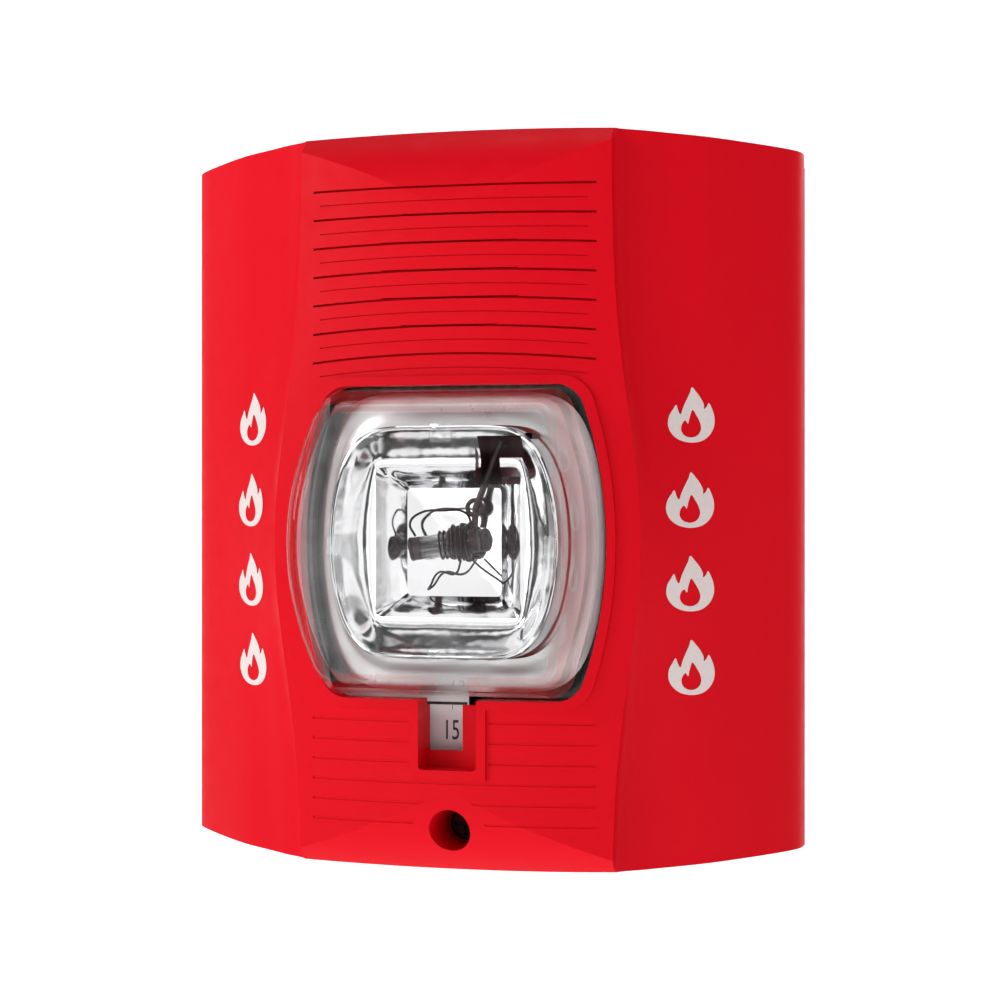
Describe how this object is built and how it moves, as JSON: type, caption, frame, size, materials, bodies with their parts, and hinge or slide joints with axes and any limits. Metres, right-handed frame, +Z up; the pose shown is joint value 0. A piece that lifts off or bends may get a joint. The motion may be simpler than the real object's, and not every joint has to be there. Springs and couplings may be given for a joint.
{
  "type": "horn strobe",
  "caption": "Wall-mounted fire alarm horn strobe: red bowed housing with horn grille, clear domed strobe lens, sliding candela selector and a hang-on mounting plate.",
  "frame": {"origin": "middle of the mounting plate's back face, on the wall", "axes": "+X to the viewer's right, -Y out of the wall towards the viewer, +Z up"},
  "size_m": [0.12, 0.0494, 0.136],
  "materials": {
    "red_housing": "fine matt moulded texture, red through",
    "clear_lens": "clear polished polycarbonate",
    "mirror_bowl": "vacuum-metallised plastic",
    "tube_glass": "clear glass",
    "lead_metal": "drawn wire",
    "trigger_metal": "dull nickel wire",
    "slider_plastic": "black moulded",
    "label_white": "printed film",
    "switch_black": "moulded",
    "board_green": "solder mask",
    "can_sleeve": "shrunk sleeve",
    "ferrite": "dark sintered",
    "copper": "enamelled copper wire",
    "chip_black": "moulded package",
    "tin": "tinned",
    "resistor_dark": "film resistors",
    "horn_black": "moulded",
    "brass_disc": "rolled",
    "piezo_white": "silvered ceramic",
    "cover_plastic": "moulded",
    "steel_zinc": "zinc plated",
    "screw_dark": "black oxide",
    "contact_brass": "plated",
    "rotor_white": "moulded",
    "plate_plastic": "moulded",
    "terminal_black": "moulded"
  },
  "bodies": {
    "wall_side": {"mounting_plate": "plate_plastic", "terminal_block": "terminal_black", "terminal_clamps": "contact_brass", "terminal_screws": "steel_zinc", "terminal_washers": "steel_zinc", "terminal_sockets": "contact_brass"},
    "front_unit": {"front_housing": "red_housing", "strobe_lens": "clear_lens", "reflector": "mirror_bowl", "flash_tube": "tube_glass", "tube_electrodes": "lead_metal", "tube_leads": "lead_metal", "trigger_wire": "trigger_metal", "candela_switch": "switch_black", "circuit_board": "board_green", "storage_capacitor": "can_sleeve", "boost_inductor": "ferrite", "inductor_winding": "copper", "horn_transformer": "ferrite", "transformer_winding": "copper", "trigger_coil": "switch_black", "control_chips": "chip_black", "chip_legs": "tin", "power_transistors": "chip_black", "small_resistors": "resistor_dark", "diodes": "chip_black", "small_capacitors": "can_sleeve", "sound_chamber": "horn_black", "piezo_disc": "brass_disc", "piezo_ceramic": "piezo_white", "horn_plate": "horn_black", "rear_cover": "cover_plastic", "cover_screws": "steel_zinc", "contact_pins": "contact_brass", "tone_switch": "switch_black"},
    "candela_strip": {"candela_slider": "slider_plastic", "candela_label": "label_white"},
    "tone_dial": {"tone_rotor": "rotor_white"},
    "mounting_screw": {"mounting_screw": "screw_dark", "screw_retainer": "slider_plastic"}
  },
  "joints": [
    {"name": "front_swing", "type": "hinge", "parent": "wall_side", "child": "front_unit", "pos_m": [0, -0.0038, 0.063], "axis": [-1, 0, 0], "range_deg": [0, 15]},
    {"name": "candela_slide", "type": "slide", "parent": "front_unit", "child": "candela_strip", "axis": [1, 0, 0], "range_m": [0, 0.0195]},
    {"name": "tone_turn", "type": "hinge", "parent": "front_unit", "child": "tone_dial", "pos_m": [0.024, -0.0115, 0.006], "axis": [0, 1, 0], "range_deg": [0, 270]},
    {"name": "mounting_screw_travel", "type": "slide", "parent": "front_unit", "child": "mounting_screw", "axis": [0, -1, 0], "range_m": [0, 0.0052]}
  ]
}
